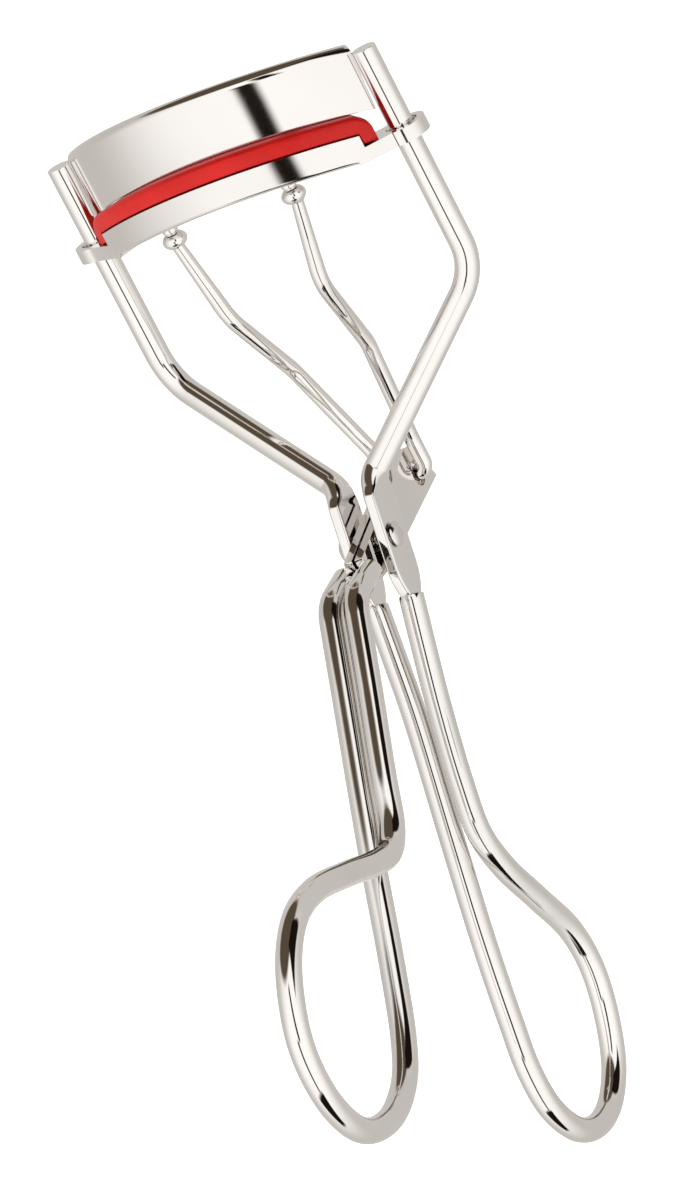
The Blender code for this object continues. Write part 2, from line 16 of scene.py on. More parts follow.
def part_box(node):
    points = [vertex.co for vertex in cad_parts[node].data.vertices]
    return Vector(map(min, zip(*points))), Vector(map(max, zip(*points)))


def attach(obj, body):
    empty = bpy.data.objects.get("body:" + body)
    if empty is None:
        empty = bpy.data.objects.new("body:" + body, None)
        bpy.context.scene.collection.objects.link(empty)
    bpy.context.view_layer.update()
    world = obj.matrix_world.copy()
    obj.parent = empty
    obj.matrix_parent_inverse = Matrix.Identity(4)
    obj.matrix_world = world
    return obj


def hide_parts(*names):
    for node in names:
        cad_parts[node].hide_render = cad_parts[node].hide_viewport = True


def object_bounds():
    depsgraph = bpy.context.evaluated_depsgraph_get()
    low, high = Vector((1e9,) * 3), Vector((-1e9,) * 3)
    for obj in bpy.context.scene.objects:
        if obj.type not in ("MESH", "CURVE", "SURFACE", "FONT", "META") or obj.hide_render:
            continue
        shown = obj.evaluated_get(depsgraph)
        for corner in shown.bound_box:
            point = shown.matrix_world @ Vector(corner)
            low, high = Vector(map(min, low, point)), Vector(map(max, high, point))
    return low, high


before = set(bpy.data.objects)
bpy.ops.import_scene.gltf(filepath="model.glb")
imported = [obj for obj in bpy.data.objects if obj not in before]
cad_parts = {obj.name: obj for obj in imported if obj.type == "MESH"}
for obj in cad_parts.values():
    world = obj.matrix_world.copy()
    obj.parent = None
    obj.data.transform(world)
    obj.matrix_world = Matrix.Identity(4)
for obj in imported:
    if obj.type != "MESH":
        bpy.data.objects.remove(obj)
cad_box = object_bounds()
MM = 0.001

# %% [markdown]
# ## Where everything is measured from
# A bench drawing of such a tool starts at its rivet. The middle of the rivet's box gives
# that point, so nothing below has to know where the tool stands in the world.

# %% Find the rivet
low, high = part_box("pivot_rivet")
RIVET = (low + high) / 2
print("rivet at", [round(value, 5) for value in RIVET])


def from_rivet(x, y, z):
    """A point given in millimetres from the rivet, in metres in the world."""
    return RIVET + Vector((x, y, z)) * MM


# %% [markdown]
# ## The camera
# A long lens from the front right, a little above, keeps the tool's lines nearly parallel.
# The camera is rolled, so the tool leans across the picture as if it lay on a table. A
# camera's own axes are its columns: right, up, and the way back from its lens.

# %% Place the camera
CAMERA_AZIMUTH = radians(28.0)
CAMERA_ELEVATION = radians(15.98)
CAMERA_ROLL = radians(27.59)
CAMERA_DISTANCE = 700 * MM
LOOK_AT = (0.0, -0.8, 0.2)          # the point that the camera was aimed from, from the rivet
AIM_RIGHT = 1.731 * MM              # of that point to the picture's middle
AIM_DOWN = 5.385 * MM
LENS = 218.4

back = Vector((
    sin(CAMERA_AZIMUTH) * cos(CAMERA_ELEVATION),
    -cos(CAMERA_AZIMUTH) * cos(CAMERA_ELEVATION),
    sin(CAMERA_ELEVATION),
))
level = Vector((cos(CAMERA_AZIMUTH), sin(CAMERA_AZIMUTH), 0))
right = level * cos(CAMERA_ROLL) - back.cross(level) * sin(CAMERA_ROLL)
up = level * sin(CAMERA_ROLL) + back.cross(level) * cos(CAMERA_ROLL)
camera_data = bpy.data.cameras.new("camera")
camera_data.sensor_fit = "VERTICAL"
camera_data.sensor_height = 36
camera_data.lens = LENS
camera_data.clip_start = 0.05
camera = bpy.data.objects.new("camera", camera_data)
bpy.context.scene.collection.objects.link(camera)
place = from_rivet(*LOOK_AT) - right * AIM_RIGHT - up * AIM_DOWN + back * CAMERA_DISTANCE
turn = Matrix((right, up, back)).transposed().to_4x4()
camera.matrix_world = Matrix.Translation(place) @ turn
bpy.context.scene.camera = camera
print("camera at", [round(value, 3) for value in place])

# %% [markdown]
# ## The room that the metal mirrors
# Polished metal has almost no colour of its own: it shows the room. A product photographer
# puts it in a white tent, lit from one side, and leaves a few dark things round it, whose
# reflections draw the shape. Here the world is that tent: a pale wall under an open, dark
# ceiling, with a table, a slit, a card and the camera as the dark things. A formula makes
# the wall brighter towards its lit side. The camera itself sees only white paper.

# %% Build the room
ROOM_STRENGTH = 1.03
WARM_BLACK = (0.010, 0.007, 0.005)
GREY = (0.62, 0.60, 0.57)
WHITE = (1.15, 1.14, 1.12)
CEILING_COLOUR = (0.10, 0.075, 0.05)
CEILING_HEIGHT = 50                 # degrees above the horizon, where the wall ends
LIT_BEARING = radians(20)           # the tent's bright side, from -Y towards +X
WALL_FADE = (-0.4, 0.8)             # cosines to the bright side: all grey, and all white
EDGE = 5                            # degrees over which an edge fades
CAMERA_HALF_WIDTH = 4
BELOW_LENS = 10                     # degrees that the camera's dark reaches below its lens
DARK_TOP = 40
DARK_THINGS = {                     # bearing, half its width, lowest and highest, in degrees
    "camera": (
        degrees(CAMERA_AZIMUTH),
        CAMERA_HALF_WIDTH,
        degrees(CAMERA_ELEVATION) - BELOW_LENS,
        DARK_TOP,
    ),
    "slit": (12, 3, -40, 5),
    "table": (0, 30, -75, -45),
    "card": (95, 20, 15, 60),
}

world = bpy.data.worlds.new("studio")
bpy.context.scene.world = world
world.use_nodes = True
nodes = world.node_tree.nodes
links = world.node_tree.links
nodes.clear()


def ramp_of(node_tree, stops):
    """A colour ramp through (position, colour) stops."""
    ramp = node_tree.nodes.new("ShaderNodeValToRGB")
    elements = ramp.color_ramp.elements
    while len(elements) > 1:
        elements.remove(elements[-1])
    elements[0].position = stops[0][0]
    elements[0].color = (*stops[0][1], 1)
    for position, colour in stops[1:]:
        element = elements.new(position)
        element.color = (*colour, 1)
    return ramp


def math_node(node_tree, operation, first, second=None):
    """A Math node; an argument is a socket or a number."""
    node = node_tree.nodes.new("ShaderNodeMath")
    node.operation = operation
    for socket, value in zip(node.inputs, (first, second)):
        if isinstance(value, bpy.types.NodeSocket):
            node_tree.links.new(value, socket)
        elif value is not None:
            socket.default_value = value
    return node.outputs[0]


def faded(value, from_low, from_high):
    """0 at from_low, 1 at from_high, and soft between them."""
    share = nodes.new("ShaderNodeMapRange")
    share.interpolation_type = "SMOOTHSTEP"
    share.inputs["From Min"].default_value = from_low
    share.inputs["From Max"].default_value = from_high
    links.new(value, share.inputs["Value"])
    return share.outputs[0]


def mixed(share, first, second):
    """From the first colour to the second one as the share goes from 0 to 1."""
    mix = nodes.new("ShaderNodeMix")
    mix.data_type = "RGBA"
    links.new(share, mix.inputs["Factor"])
    for socket, value in (("A", first), ("B", second)):
        if isinstance(value, bpy.types.NodeSocket):
            links.new(value, mix.inputs[socket])
        else:
            mix.inputs[socket].default_value = (*value, 1)
    return mix.outputs["Result"]


def room_math(operation, first, second=None):
    """A Math node of the room."""
    return math_node(world.node_tree, operation, first, second)


direction = nodes.new("ShaderNodeTexCoord")
split = nodes.new("ShaderNodeSeparateXYZ")
links.new(direction.outputs["Generated"], split.inputs[0])
forward = room_math("MULTIPLY", split.outputs["Y"], -1)
bearing = room_math("DEGREES", room_math("ARCTAN2", split.outputs["X"], forward))
height = room_math("DEGREES", room_math("ARCSINE", split.outputs["Z"]))
towards_light = room_math(
    "ADD",
    room_math("MULTIPLY", split.outputs["X"], sin(LIT_BEARING)),
    room_math("MULTIPLY", forward, cos(LIT_BEARING)),
)
room = mixed(faded(towards_light, *WALL_FADE), GREY, WHITE)
room = mixed(faded(height, CEILING_HEIGHT - EDGE, CEILING_HEIGHT + EDGE), room, CEILING_COLOUR)
for centre, half_width, lowest, highest in DARK_THINGS.values():
    aside = room_math("ABSOLUTE", room_math("SUBTRACT", bearing, centre))
    across = faded(room_math("MULTIPLY", aside, -1), -half_width - EDGE, -half_width)
    above_foot = faded(height, lowest - EDGE, lowest)
    below_head = faded(room_math("MULTIPLY", height, -1), -highest - EDGE, -highest)
    cover = room_math("MULTIPLY", across, room_math("MULTIPLY", above_foot, below_head))
    room = mixed(cover, room, WARM_BLACK)
mirrored_room = nodes.new("ShaderNodeBackground")
mirrored_room.inputs["Strength"].default_value = ROOM_STRENGTH
links.new(room, mirrored_room.inputs["Color"])
paper = nodes.new("ShaderNodeBackground")
paper.inputs["Color"].default_value = (1, 1, 1, 1)
rays = nodes.new("ShaderNodeLightPath")
seen = nodes.new("ShaderNodeMixShader")
links.new(rays.outputs["Is Camera Ray"], seen.inputs[0])
links.new(mirrored_room.outputs[0], seen.inputs[1])
links.new(paper.outputs[0], seen.inputs[2])
world_out = nodes.new("ShaderNodeOutputWorld")
links.new(seen.outputs[0], world_out.inputs["Surface"])
bpy.context.scene.view_settings.view_transform = "Standard"
print("the room has", len(nodes), "nodes")

# %% [markdown]
# ## The floor
# The tool stands over plain white paper. The paper is lit from within as well, like a
# light table, so that it stays as white as the wall behind and shows no edge.

# %% Lay the floor
FLOOR_SIZE = 4.0
FLOOR_DROP = 40 * MM                # below the finger loops

floor_mesh = bpy.data.meshes.new("paper_floor")
half = FLOOR_SIZE / 2
floor_z = cad_box[0][2] - FLOOR_DROP
corners = [(-half, -half), (half, -half), (half, half), (-half, half)]
floor_mesh.from_pydata([(x, y, floor_z) for x, y in corners], [], [(0, 1, 2, 3)])
floor = bpy.data.objects.new("paper_floor", floor_mesh)
bpy.context.scene.collection.objects.link(floor)
floor_look = bpy.data.materials.new("white_paper")
floor_look.use_nodes = True
floor_shader = floor_look.node_tree.nodes["Principled BSDF"]
floor_shader.inputs["Base Color"].default_value = (0.9, 0.9, 0.9, 1)
floor_shader.inputs["Roughness"].default_value = 0.9
floor_shader.inputs["Emission Color"].default_value = (1, 1, 1, 1)
floor_shader.inputs["Emission Strength"].default_value = 0.8
floor_mesh.materials.append(floor_look)
floor.visible_glossy = False
print("floor at", round(floor_z, 4))

# %% [markdown]
# ## A soft key light
# A large, soft lamp to the upper left adds the broad white highlight, and gives the
# silicone pad the light that its colour needs. It is far bigger than the tool, so its
# edges are soft.

# %% Hang the lamp
LAMP_PLACE = (-260.0, -420.0, 320.0)
LAMP_SIZE = 0.35
LAMP_POWER = 1.4

lamp_data = bpy.data.lights.new("soft_lamp", "AREA")
lamp_data.shape = "SQUARE"
lamp_data.size = LAMP_SIZE
lamp_data.energy = LAMP_POWER
lamp = bpy.data.objects.new("soft_lamp", lamp_data)
bpy.context.scene.collection.objects.link(lamp)
lamp.location = from_rivet(*LAMP_PLACE)
lamp.rotation_euler = (RIVET - lamp.location).to_track_quat("-Z", "Y").to_euler()
lamp.visible_glossy = False

# %% [markdown]
# ## Wear that every metal piece shares
# Plated metal that is handled picks up faint smears and hair-fine scratches. Both are the
# same effect at different strengths, so they live in one shader group. It puts out a
# roughness and a height; each material decides how deep the height goes. Noise on the
# object's own coordinates needs no unwrapping and stays put when a joint moves.

# %% Build the wear group
wear = bpy.data.node_groups.new("handling_wear", "ShaderNodeTree")
for name, default in (("Polish", 0.06), ("Smears", 0.08), ("Scratches", 0.5), ("Grain", 900.0)):
    socket = wear.interface.new_socket(name, in_out="INPUT", socket_type="NodeSocketFloat")
    socket.default_value = default
wear.interface.new_socket("Roughness", in_out="OUTPUT", socket_type="NodeSocketFloat")
wear.interface.new_socket("Height", in_out="OUTPUT", socket_type="NodeSocketFloat")
asked = wear.nodes.new("NodeGroupInput")
given = wear.nodes.new("NodeGroupOutput")
place_in_piece = wear.nodes.new("ShaderNodeTexCoord")


def noise(node_tree, coordinates, scale, detail, stretch=(1, 1, 1), rough=0.6):
    """Noise on stretched object coordinates; scale is in features for each metre."""
    mapping = node_tree.nodes.new("ShaderNodeMapping")
    mapping.inputs["Scale"].default_value = stretch
    node_tree.links.new(coordinates, mapping.inputs["Vector"])
    texture = node_tree.nodes.new("ShaderNodeTexNoise")
    texture.inputs["Detail"].default_value = detail
    texture.inputs["Roughness"].default_value = rough
    if isinstance(scale, bpy.types.NodeSocket):
        node_tree.links.new(scale, texture.inputs["Scale"])
    else:
        texture.inputs["Scale"].default_value = scale
    node_tree.links.new(mapping.outputs[0], texture.inputs["Vector"])
    return texture.outputs["Fac"]


smears = noise(wear, place_in_piece.outputs["Object"], 160, 4)
smear_spots = wear.nodes.new("ShaderNodeMapRange")
smear_spots.inputs["From Min"].default_value = 0.48
smear_spots.inputs["From Max"].default_value = 0.72
wear.links.new(smears, smear_spots.inputs["Value"])
smear_depth = math_node(wear, "MULTIPLY", smear_spots.outputs[0], asked.outputs["Smears"])
dullness = math_node(wear, "ADD", smear_depth, asked.outputs["Polish"])
wear.links.new(dullness, given.inputs["Roughness"])
drawn_lines = noise(wear, place_in_piece.outputs["Object"], asked.outputs["Grain"], 2, (1, 1, 0.04))
wear.links.new(math_node(wear, "MULTIPLY", drawn_lines, asked.outputs["Scratches"]), given.inputs["Height"])
print("wear group:", len(wear.nodes), "nodes")

# %% [markdown]
# ## Nickel, three ways
# The wire is drawn and polished bright. Sheet that was stamped keeps a softer, greyer
# face. The rivet and the hammered ends are a little rougher again. One function makes all
# three, so only their numbers differ.

# %% Make the nickels
def nickel(name, colour, polish, smears, scratches, grain, depth):
    """A plated steel finish; depth is the height of the scratches in metres."""
    material = bpy.data.materials.new(name)
    material.use_nodes = True
    tree = material.node_tree
    shader = tree.nodes["Principled BSDF"]
    shader.inputs["Metallic"].default_value = 1
    worn = tree.nodes.new("ShaderNodeGroup")
    worn.node_tree = wear
    for socket, value in (
        ("Polish", polish),
        ("Smears", smears),
        ("Scratches", scratches),
        ("Grain", grain),
    ):
        worn.inputs[socket].default_value = value
    tree.links.new(worn.outputs["Roughness"], shader.inputs["Roughness"])
    bump = tree.nodes.new("ShaderNodeBump")
    bump.inputs["Distance"].default_value = depth
    bump.inputs["Strength"].default_value = 1
    tree.links.new(worn.outputs["Height"], bump.inputs["Height"])
    tree.links.new(bump.outputs[0], shader.inputs["Normal"])
    coordinates = tree.nodes.new("ShaderNodeTexCoord")
    cloudy = noise(tree, coordinates.outputs["Object"], 45, 3)
    darker = tuple(0.93 * value for value in colour)
    tint = ramp_of(tree, [(0.35, darker), (0.65, colour)])
    tree.links.new(cloudy, tint.inputs[0])
    tree.links.new(tint.outputs["Color"], shader.inputs["Base Color"])
    return material


WIRE_NICKEL = nickel("bright_drawn_nickel", (0.86, 0.835, 0.81), 0.045, 0.05, 0.4, 1400, 0.0000015)
SHEET_NICKEL = nickel("stamped_sheet_nickel", (0.84, 0.81, 0.785), 0.07, 0.06, 0.5, 1100, 0.000002)
WORKED_NICKEL = nickel("hammered_nickel", (0.80, 0.77, 0.74), 0.13, 0.10, 1.0, 2200, 0.000006)

# %% [markdown]
# ## Red silicone
# The pad is moulded silicone: saturated red, a satin skin and a little light that
# travels inside it. Dust and handling dull it in faint clouds, and the mould left a fine
# matte grain.

# %% Make the silicone
SILICONE = bpy.data.materials.new("red_silicone")
SILICONE.use_nodes = True
tree = SILICONE.node_tree
shader = tree.nodes["Principled BSDF"]
shader.inputs["Subsurface Weight"].default_value = 0.1
shader.inputs["Subsurface Radius"].default_value = (0.0012, 0.0003, 0.0002)
shader.inputs["Subsurface Scale"].default_value = 1.0
shader.inputs["Specular IOR Level"].default_value = 0.25
shader.inputs["Coat Weight"].default_value = 0.08
shader.inputs["Coat Roughness"].default_value = 0.18
coordinates = tree.nodes.new("ShaderNodeTexCoord")
clouds = noise(tree, coordinates.outputs["Object"], 220, 3)
reds = ramp_of(tree, [(0.35, (0.46, 0.003, 0.002)), (0.7, (0.55, 0.007, 0.004))])
tree.links.new(clouds, reds.inputs[0])
tree.links.new(reds.outputs["Color"], shader.inputs["Base Color"])
satin = tree.nodes.new("ShaderNodeMapRange")
satin.inputs["To Min"].default_value = 0.30
satin.inputs["To Max"].default_value = 0.46
tree.links.new(clouds, satin.inputs["Value"])
tree.links.new(satin.outputs[0], shader.inputs["Roughness"])
grain = noise(tree, coordinates.outputs["Object"], 9000, 2)
skin_bump = tree.nodes.new("ShaderNodeBump")
skin_bump.inputs["Distance"].default_value = 0.000004
tree.links.new(grain, skin_bump.inputs["Height"])
tree.links.new(skin_bump.outputs[0], shader.inputs["Normal"])

# %% [markdown]
# ## Paths
# A wire is a path and a radius. Where a bender turned it, the path is straight, then an
# arc, then straight. Where a loop was formed round a jig, it is one smooth curve through
# a few points. Both helpers return plain lists of points.

# %% Paths with arcs, and smooth paths
BEND_STEPS = 5
STEPS_PER_SPAN = 8


def rounded_path(corners, radii, steps=BEND_STEPS):
    """Straight runs through the corners, each inner corner an arc."""
    points = [corners[0]]
    for before, corner, after, radius in zip(corners, corners[1:], corners[2:], radii):
        inward = (before - corner).normalized()
        onward = (after - corner).normalized()
        half_turn = (pi - inward.angle(onward)) / 2
        middle = corner + (inward + onward).normalized() * radius / cos(half_turn)
        start = corner + inward * radius * tan(half_turn) - middle
        end = corner + onward * radius * tan(half_turn) - middle
        points += [middle + start.slerp(end, i / steps) * radius for i in range(steps + 1)]
    return points + [corners[-1]]


def smooth_path(points, steps=STEPS_PER_SPAN):
    """A centripetal Catmull-Rom curve through the points."""
    ends = [2 * points[0] - points[1], *points, 2 * points[-1] - points[-2]]
    path = []
    for p0, p1, p2, p3 in zip(ends, ends[1:], ends[2:], ends[3:]):
        t1 = sqrt((p1 - p0).length)
        t2 = t1 + sqrt((p2 - p1).length)
        t3 = t2 + sqrt((p3 - p2).length)
        for i in range(steps):
            t = t1 + (t2 - t1) * i / steps
            a1 = p0.lerp(p1, t / t1)
            a2 = p1.lerp(p2, (t - t1) / (t2 - t1))
            a3 = p2.lerp(p3, (t - t2) / (t3 - t2))
            b1 = a1.lerp(a2, t / t2)
            b2 = a2.lerp(a3, (t - t1) / (t3 - t1))
            path.append(b1.lerp(b2, (t - t1) / (t2 - t1)))
    return path + [points[-1]]


# %% [markdown]
# ## From rings to a skin
# Every swept piece is a stack of rings with equally many points. Joining each ring to the
# next and closing both ends gives one closed body. A ring can be round, or a rounded
# rectangle where the wire is hammered flat, so one function serves both.

# %% Rings, skins and pieces
RING_QUARTER = 8                    # points for each quarter of a ring


def section_ring(half_thickness, half_width, corner):
    """A rounded rectangle, or a circle when all three are equal."""
    ring = []
    for quarter in range(4):
        sign_a = (1, -1, -1, 1)[quarter]
        sign_b = (1, 1, -1, -1)[quarter]
        for i in range(RING_QUARTER):
            angle = (quarter + (i + 0.5) / RING_QUARTER) * pi / 2
            ring.append((
                sign_a * (half_thickness - corner) + corner * cos(angle),
                sign_b * (half_width - corner) + corner * sin(angle),
            ))
    return ring


def skin(rings):
    """A closed bmesh over rings of equally many points."""
    bm = bmesh.new()
    loops = [[bm.verts.new(point) for point in ring] for ring in rings]
    count = len(loops[0])
    for one, two in zip(loops, loops[1:]):
        for i in range(count):
            j = (i + 1) % count
            bm.faces.new((one[i], one[j], two[j], two[i]))
    bm.faces.new(list(reversed(loops[0])))
    bm.faces.new(loops[-1])
    bmesh.ops.recalc_face_normals(bm, faces=bm.faces)
    return bm


def lofted(path, sections):
    """A bmesh swept along the path; sections give thickness, width and corner radius."""
    rings = []
    across = Vector((1, 0, 0))
    for i, point in enumerate(path):
        tangent = (path[min(i + 1, len(path) - 1)] - path[max(i - 1, 0)]).normalized()
        flat = Vector((1, 0, 0)) - tangent.x * tangent
        if flat.length < 0.3:
            flat = across - across.dot(tangent) * tangent
        across = flat.normalized()
        along = tangent.cross(across)
        ring = section_ring(*sections[i])
        rings.append([point + across * a + along * b for a, b in ring])
    return skin(rings)


def turned(profile, sides, matrix):
    """A bmesh of revolution about +Z, then moved by the matrix; profile is (radius, z)."""
    rings = []
    for radius, z in profile:
        angles = [2 * pi * i / sides for i in range(sides)]
        rings.append([matrix @ Vector((radius * cos(a), radius * sin(a), z)) for a in angles])
    return skin(rings)


def mesh_object(name, bm):
    mesh = bpy.data.meshes.new(name)
    bm.to_mesh(mesh)
    bm.free()
    obj = bpy.data.objects.new(name, mesh)
    bpy.context.scene.collection.objects.link(obj)
    return obj


def baked(obj):
    """Applies the object's modifiers: its mesh becomes what they make of it."""
    bpy.context.view_layer.update()
    graph = bpy.context.evaluated_depsgraph_get()
    mesh = bpy.data.meshes.new_from_object(obj.evaluated_get(graph))
    obj.modifiers.clear()
    obj.data = mesh
    return obj


def combined(obj, tool_bm, operation):
    """Joins the tool's shape to the object, or cuts it out."""
    tool = mesh_object("tool", tool_bm)
    modifier = obj.modifiers.new("combine", "BOOLEAN")
    modifier.operation = operation
    modifier.solver = "EXACT"
    modifier.object = tool
    baked(obj)
    bpy.data.objects.remove(tool, do_unlink=True)
    return obj


def softened(obj, width, segments=2, angle=35):
    """Rounds the sharp edges, as tumbling and plating do."""
    bevel = obj.modifiers.new("soften", "BEVEL")
    bevel.width = width
    bevel.segments = segments
    bevel.limit_method = "ANGLE"
    bevel.angle_limit = radians(angle)
    bevel.harden_normals = False
    return baked(obj)


def finished(obj, material, body, slot, *nodes_replaced, flat_faced=False):
    """Gives the piece its finish and its body, and hides the CAD nodes that it stands for."""
    obj.data.materials.clear()
    obj.data.materials.append(material)
    for polygon in obj.data.polygons:
        polygon.material_index = 0
    obj.data.shade_smooth()
    obj.data.set_sharp_from_angle(angle=radians(38))
    if flat_faced:
        even = obj.modifiers.new("even", "WEIGHTED_NORMAL")
        even.keep_sharp = True
        baked(obj)
    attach(obj, body)
    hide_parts(*nodes_replaced)
    print(obj.name, len(obj.data.polygons), "faces")
    return obj


# %% [markdown]
# ## The sizes that the wires share
# Both wires, the gaps between pieces and the pivot's stack of plates are used by several
# pieces, so they are named once here. All are in millimetres.

# %% Shared sizes
WIRE_R = 1.25
ROD_R = 0.8
SEAT_GAP = 0.3
RUNNING_GAP = 0.15
EAR_INNER_X = SEAT_GAP / 2
EAR_OUTER_X = EAR_INNER_X + 0.95
SIDE_THICKNESS = 1.2
SIDE_WIDTH = 4.8
SIDE_TOP = (2.8, 5.4)
SIDE_FOOT = (-1.4, -5.5)
SIDE_X = EAR_OUTER_X + SEAT_GAP + SIDE_THICKNESS / 2
RIVET_R = 0.9
STRAND_X = 1.4
POST_X = 17.5
JAW_RADIUS = 22.5
JAW_CENTRE_Y = 4.5 + JAW_RADIUS
JAW_REACH = POST_X - WIRE_R - SEAT_GAP
JAW_END_ANGLE = asin(JAW_REACH / JAW_RADIUS)
POST_Y = JAW_CENTRE_Y - JAW_RADIUS * cos(JAW_END_ANGLE) + 0.55
SIDEWAYS = Matrix.Rotation(pi / 2, 4, "Y")


def scaled(bm):
    """Brings a bmesh drawn in millimetres from the rivet to its place in the world."""
    bmesh.ops.transform(bm, matrix=Matrix.Translation(RIVET) @ Matrix.Scale(MM, 4), verts=bm.verts)
    return bm


# %% [markdown]
# ## A wire by Geometry Nodes
# The two handles are each one long wire of constant thickness: a rule that Geometry Nodes
# follow well. The tree turns a chain of points into a curve, sweeps a circle along it,
# closes the ends and sets the material. Thickness and number of sides are its inputs.

# %% Build the wire tree
wire_tree = bpy.data.node_groups.new("drawn_wire", "GeometryNodeTree")
wire_tree.interface.new_socket("Geometry", in_out="INPUT", socket_type="NodeSocketGeometry")
for name, kind in (
    ("Radius", "NodeSocketFloat"),
    ("Sides", "NodeSocketInt"),
    ("Material", "NodeSocketMaterial"),
):
    wire_tree.interface.new_socket(name, in_out="INPUT", socket_type=kind)
wire_tree.interface.new_socket("Geometry", in_out="OUTPUT", socket_type="NodeSocketGeometry")
tree_in = wire_tree.nodes.new("NodeGroupInput")
to_curve = wire_tree.nodes.new("GeometryNodeMeshToCurve")
circle = wire_tree.nodes.new("GeometryNodeCurvePrimitiveCircle")
sweep = wire_tree.nodes.new("GeometryNodeCurveToMesh")
sweep.inputs["Fill Caps"].default_value = True
realize = wire_tree.nodes.new("GeometryNodeRealizeInstances")
set_material = wire_tree.nodes.new("GeometryNodeSetMaterial")
tree_out = wire_tree.nodes.new("NodeGroupOutput")
for source, target in (
    (tree_in.outputs["Geometry"], to_curve.inputs["Mesh"]),
    (tree_in.outputs["Radius"], circle.inputs["Radius"]),
    (tree_in.outputs["Sides"], circle.inputs["Resolution"]),
    (to_curve.outputs["Curve"], sweep.inputs["Curve"]),
    (circle.outputs["Curve"], sweep.inputs["Profile Curve"]),
    (sweep.outputs["Mesh"], realize.inputs["Geometry"]),
    (realize.outputs["Geometry"], set_material.inputs["Geometry"]),
    (tree_in.outputs["Material"], set_material.inputs["Material"]),
    (set_material.outputs["Geometry"], tree_out.inputs["Geometry"]),
):
    wire_tree.links.new(source, target)
WIRE_INPUTS = {
    item.name: item.identifier
    for item in wire_tree.interface.items_tree
    if item.in_out == "INPUT"
}


def drawn_wire(name, path, radius):
    """A wire along a path in millimetres from the rivet."""
    mesh = bpy.data.meshes.new(name)
    points = [RIVET + point * MM for point in path]
    mesh.from_pydata(points, [(i, i + 1) for i in range(len(points) - 1)], [])
    obj = bpy.data.objects.new(name, mesh)
    bpy.context.scene.collection.objects.link(obj)
    modifier = obj.modifiers.new("wire", "NODES")
    modifier.node_group = wire_tree
    modifier[WIRE_INPUTS["Radius"]] = radius * MM
    modifier[WIRE_INPUTS["Sides"]] = 4 * RING_QUARTER
    modifier[WIRE_INPUTS["Material"]] = WIRE_NICKEL
    baked(obj)
    bm = bmesh.new()
    bm.from_mesh(obj.data)
    bmesh.ops.remove_doubles(bm, verts=bm.verts, dist=0.01 * MM)
    bmesh.ops.recalc_face_normals(bm, faces=bm.faces)
    bm.to_mesh(obj.data)
    bm.free()
    return obj


# %% [markdown]
# ## The handles
# Each handle leaves the pivot as two strands side by side and closes in a finger loop,
# where the wire crosses from the left strand to the right one. A loop is easiest to draw
# along its own strand: s runs down the strand and w out from it.

# %% Shape the finger loops
FIXED_START = (-1.55, -5.8)
FIXED_LEAN = 23.3
FIXED_LOOP = (
    (34.0, 0.1), (42.0, 0.7), (47.0, 1.4), (51.0, 3.4), (53.6, 7.1), (53.9, 10.8),
    (52.4, 14.2), (49.0, 16.8), (44.0, 17.6), (39.0, 16.7), (35.0, 13.9), (31.2, 8.4),
    (27.4, 3.2), (23.8, 0.4), (19.0, -0.2),
)
LEVER_BEND = (-11.1, -1.2)
LEVER_TOP = (-5.5, -0.9)
LEVER_LEAN = 38.5
LEVER_LOOP = (
    (36.0, -0.4), (43.0, -0.2), (47.0, 0.9), (51.0, 4.3), (53.2, 9.2), (53.2, 13.0),
    (51.3, 17.4), (47.6, 21.0), (43.5, 22.3), (39.0, 22.2), (35.0, 20.4), (32.0, 16.8),
    (29.4, 10.6), (27.2, 4.4), (25.6, 1.5), (23.0, 0.2), (18.0, 0.2),
)


def handle_frame(start, lean, outward):
    """A function from (s, w, x) to millimetres from the rivet."""
    slope = radians(lean)
    down = Vector((0, -sin(slope), -cos(slope)))
    out = Vector((0, cos(slope), -sin(slope))) * outward
    origin = Vector((0, *start))
    return lambda s, w, x: origin + down * s + out * w + Vector((x, 0, 0))


def loop_points(place, loop):
    """The loop in space: it crosses from the left strand to the right one."""
    lengths = [0.0]
    for (s1, w1), (s2, w2) in zip(loop, loop[1:]):
        lengths.append(lengths[-1] + sqrt((s2 - s1) ** 2 + (w2 - w1) ** 2))
    points = []
    for (s, w), length in zip(loop, lengths):
        swing = max(-1.0, min(1.0, (length / lengths[-1] - 0.5) / 0.3))
        points.append(place(s, w, STRAND_X * sin(swing * pi / 2)))
    return points


# %% Draw the fixed handle
place = handle_frame(FIXED_START, FIXED_LEAN, 1)
strand = ((0, SIDE_X), (5, (SIDE_X + STRAND_X) / 2), (11, STRAND_X))
points = [place(s, 0, -x) for s, x in strand]
points.append(place(24, 0, -STRAND_X))
points += loop_points(place, FIXED_LOOP)
points += [place(s, 0, x) for s, x in reversed(strand)]
fixed = softened(drawn_wire("fixed_handle_wire", smooth_path(points), WIRE_R), 0.12 * MM)
finished(fixed, WIRE_NICKEL, "frame", "polished_nickel", "fixed_handle")

# %% Draw the lever handle
place = handle_frame(LEVER_BEND, LEVER_LEAN, -1)
turn = rounded_path([Vector((0, *LEVER_TOP)), place(0, 0, 0), place(12, 0, 0)], [4.0])
points = [point - Vector((STRAND_X, 0, 0)) for point in turn[:-1]]
points += [place(9, 0, -STRAND_X), place(24, 0, -STRAND_X)]
curve = points + loop_points(place, LEVER_LOOP) + [place(9, 0, STRAND_X)]
path = points[:-2] + smooth_path(curve[len(points) - 2:])
path += [point + Vector((STRAND_X, 0, 0)) for point in reversed(turn[:-1])]
lever = softened(drawn_wire("lever_handle_wire", path, WIRE_R), 0.12 * MM)
finished(lever, WIRE_NICKEL, "lever", "polished_nickel", "lever_handle")

